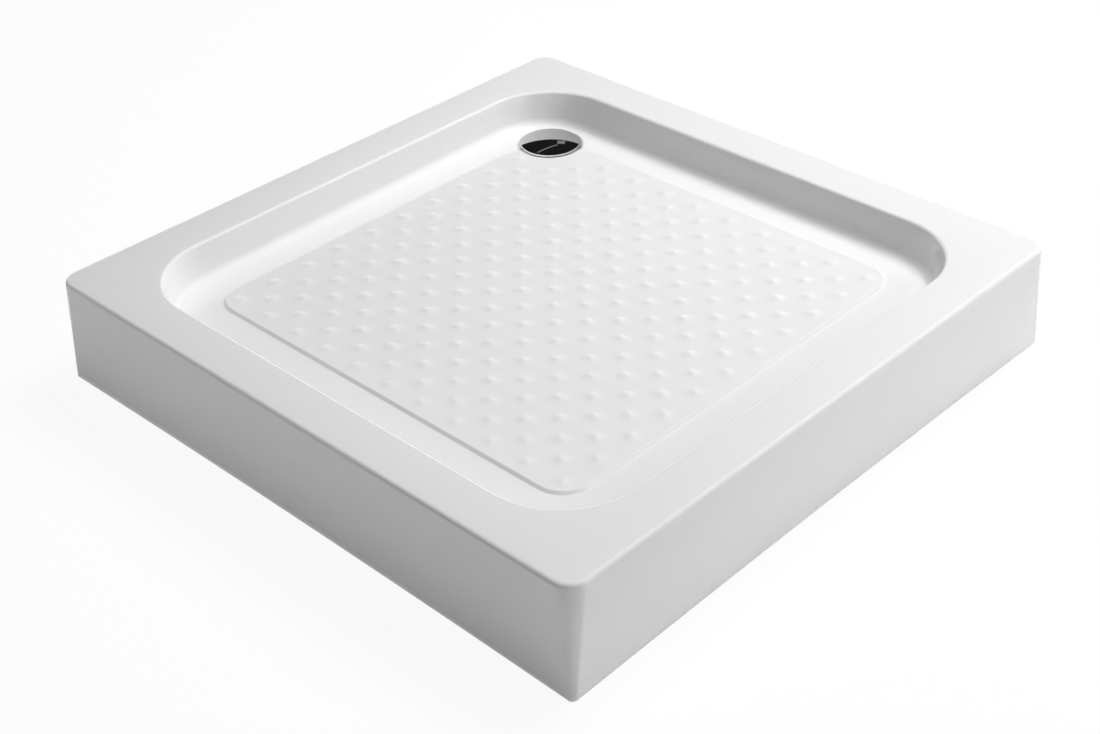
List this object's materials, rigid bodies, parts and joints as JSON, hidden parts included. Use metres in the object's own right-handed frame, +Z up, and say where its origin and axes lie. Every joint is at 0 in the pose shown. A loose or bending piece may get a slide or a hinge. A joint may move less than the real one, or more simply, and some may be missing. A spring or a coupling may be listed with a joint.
{
  "type": "shower tray",
  "caption": "Square white shower tray with skirts on all sides, a raised studded tread area and a corner waste; it stands on a steel frame with screw feet and drains through a trap.",
  "frame": {"origin": "middle of the tray's square outline, on the floor that it stands on", "axes": "+Z up; the waste is in the corner at -X and +Y, and the trap's outlet points along +X"},
  "size_m": [0.9, 0.9, 0.15],
  "materials": {
    "white_acrylic": "moulded, glossy white",
    "laminate": "rolled glass fibre and resin, rough, straw yellow",
    "chipboard": "raw particle board",
    "zinc_steel": "zinc-plated, satin",
    "black_plastic": "moulded, fine texture",
    "chrome": "polished",
    "trap_plastic": "moulded white polypropylene",
    "insert_plastic": "moulded grey polypropylene",
    "seal_rubber": "moulded"
  },
  "bodies": {
    "tray": {"tray_shell": "white_acrylic", "fibreglass_backing": "laminate", "base_board": "chipboard", "left_rail": "zinc_steel", "right_rail": "zinc_steel", "front_rail": "zinc_steel", "middle_rail": "zinc_steel", "back_rail": "zinc_steel", "rail_end_plugs": "black_plastic", "board_brackets": "zinc_steel", "board_screws": "zinc_steel", "corner_brackets": "zinc_steel", "frame_screws": "zinc_steel", "welded_nuts": "zinc_steel", "lock_nuts": "zinc_steel", "upper_seal": "seal_rubber", "waste_flange": "chrome", "lower_seal": "seal_rubber", "trap_body": "trap_plastic", "union_nut": "trap_plastic", "outlet_seal": "seal_rubber"},
    "pad_front_left": {"foot_pad_front_left": "black_plastic"},
    "stem_front_left": {"foot_stem_front_left": "zinc_steel"},
    "pad_front_right": {"foot_pad_front_right": "black_plastic"},
    "stem_front_right": {"foot_stem_front_right": "zinc_steel"},
    "pad_back_left": {"foot_pad_back_left": "black_plastic"},
    "stem_back_left": {"foot_stem_back_left": "zinc_steel"},
    "pad_back_right": {"foot_pad_back_right": "black_plastic"},
    "stem_back_right": {"foot_stem_back_right": "zinc_steel"},
    "pad_middle": {"foot_pad_middle": "black_plastic"},
    "stem_middle": {"foot_stem_middle": "zinc_steel"},
    "pad_back_middle": {"foot_pad_back_middle": "black_plastic"},
    "stem_back_middle": {"foot_stem_back_middle": "zinc_steel"},
    "dip_tube": {"dip_tube": "insert_plastic", "dip_tube_seal": "seal_rubber"},
    "grate": {"waste_grate": "chrome"},
    "cover": {"waste_cover": "chrome"}
  },
  "joints": [
    {"name": "foot_height_front_left", "type": "slide", "parent": "tray", "child": "pad_front_left", "axis": [0, 0, -1], "range_m": [0, 0.024]},
    {"name": "stem_turn_front_left", "type": "hinge", "parent": "pad_front_left", "child": "stem_front_left", "pos_m": [-0.335, -0.285, 0.045], "axis": [0, 0, -1], "range_deg": [0, 4938]},
    {"name": "foot_height_front_right", "type": "slide", "parent": "tray", "child": "pad_front_right", "axis": [0, 0, -1], "range_m": [0, 0.024]},
    {"name": "stem_turn_front_right", "type": "hinge", "parent": "pad_front_right", "child": "stem_front_right", "pos_m": [0.335, -0.285, 0.045], "axis": [0, 0, -1], "range_deg": [0, 4938]},
    {"name": "foot_height_back_left", "type": "slide", "parent": "tray", "child": "pad_back_left", "axis": [0, 0, -1], "range_m": [0, 0.024]},
    {"name": "stem_turn_back_left", "type": "hinge", "parent": "pad_back_left", "child": "stem_back_left", "pos_m": [-0.335, 0.165, 0.045], "axis": [0, 0, -1], "range_deg": [0, 4938]},
    {"name": "foot_height_back_right", "type": "slide", "parent": "tray", "child": "pad_back_right", "axis": [0, 0, -1], "range_m": [0, 0.024]},
    {"name": "stem_turn_back_right", "type": "hinge", "parent": "pad_back_right", "child": "stem_back_right", "pos_m": [0.335, 0.315, 0.045], "axis": [0, 0, -1], "range_deg": [0, 4938]},
    {"name": "foot_height_middle", "type": "slide", "parent": "tray", "child": "pad_middle", "axis": [0, 0, -1], "range_m": [0, 0.024]},
    {"name": "stem_turn_middle", "type": "hinge", "parent": "pad_middle", "child": "stem_middle", "pos_m": [0, -0.06, 0.045], "axis": [0, 0, -1], "range_deg": [0, 4938]},
    {"name": "foot_height_back_middle", "type": "slide", "parent": "tray", "child": "pad_back_middle", "axis": [0, 0, -1], "range_m": [0, 0.024]},
    {"name": "stem_turn_back_middle", "type": "hinge", "parent": "pad_back_middle", "child": "stem_back_middle", "pos_m": [0, 0.19, 0.045], "axis": [0, 0, -1], "range_deg": [0, 4938]},
    {"name": "dip_tube_lift", "type": "slide", "parent": "tray", "child": "dip_tube", "axis": [0, 0, 1], "range_m": [0, 0.14]},
    {"name": "grate_lift", "type": "slide", "parent": "dip_tube", "child": "grate", "axis": [0, 0, 1], "range_m": [0, 0.06]},
    {"name": "cover_lift", "type": "slide", "parent": "grate", "child": "cover", "axis": [0, 0, 1], "range_m": [0, 0.055]}
  ],
  "couplings": [
    {"joint": "stem_turn_front_left", "follows": "foot_height_front_left", "rad_per_m": 3590.4},
    {"joint": "stem_turn_front_right", "follows": "foot_height_front_right", "rad_per_m": 3590.4},
    {"joint": "stem_turn_back_left", "follows": "foot_height_back_left", "rad_per_m": 3590.4},
    {"joint": "stem_turn_back_right", "follows": "foot_height_back_right", "rad_per_m": 3590.4},
    {"joint": "stem_turn_middle", "follows": "foot_height_middle", "rad_per_m": 3590.4},
    {"joint": "stem_turn_back_middle", "follows": "foot_height_back_middle", "rad_per_m": 3590.4}
  ]
}
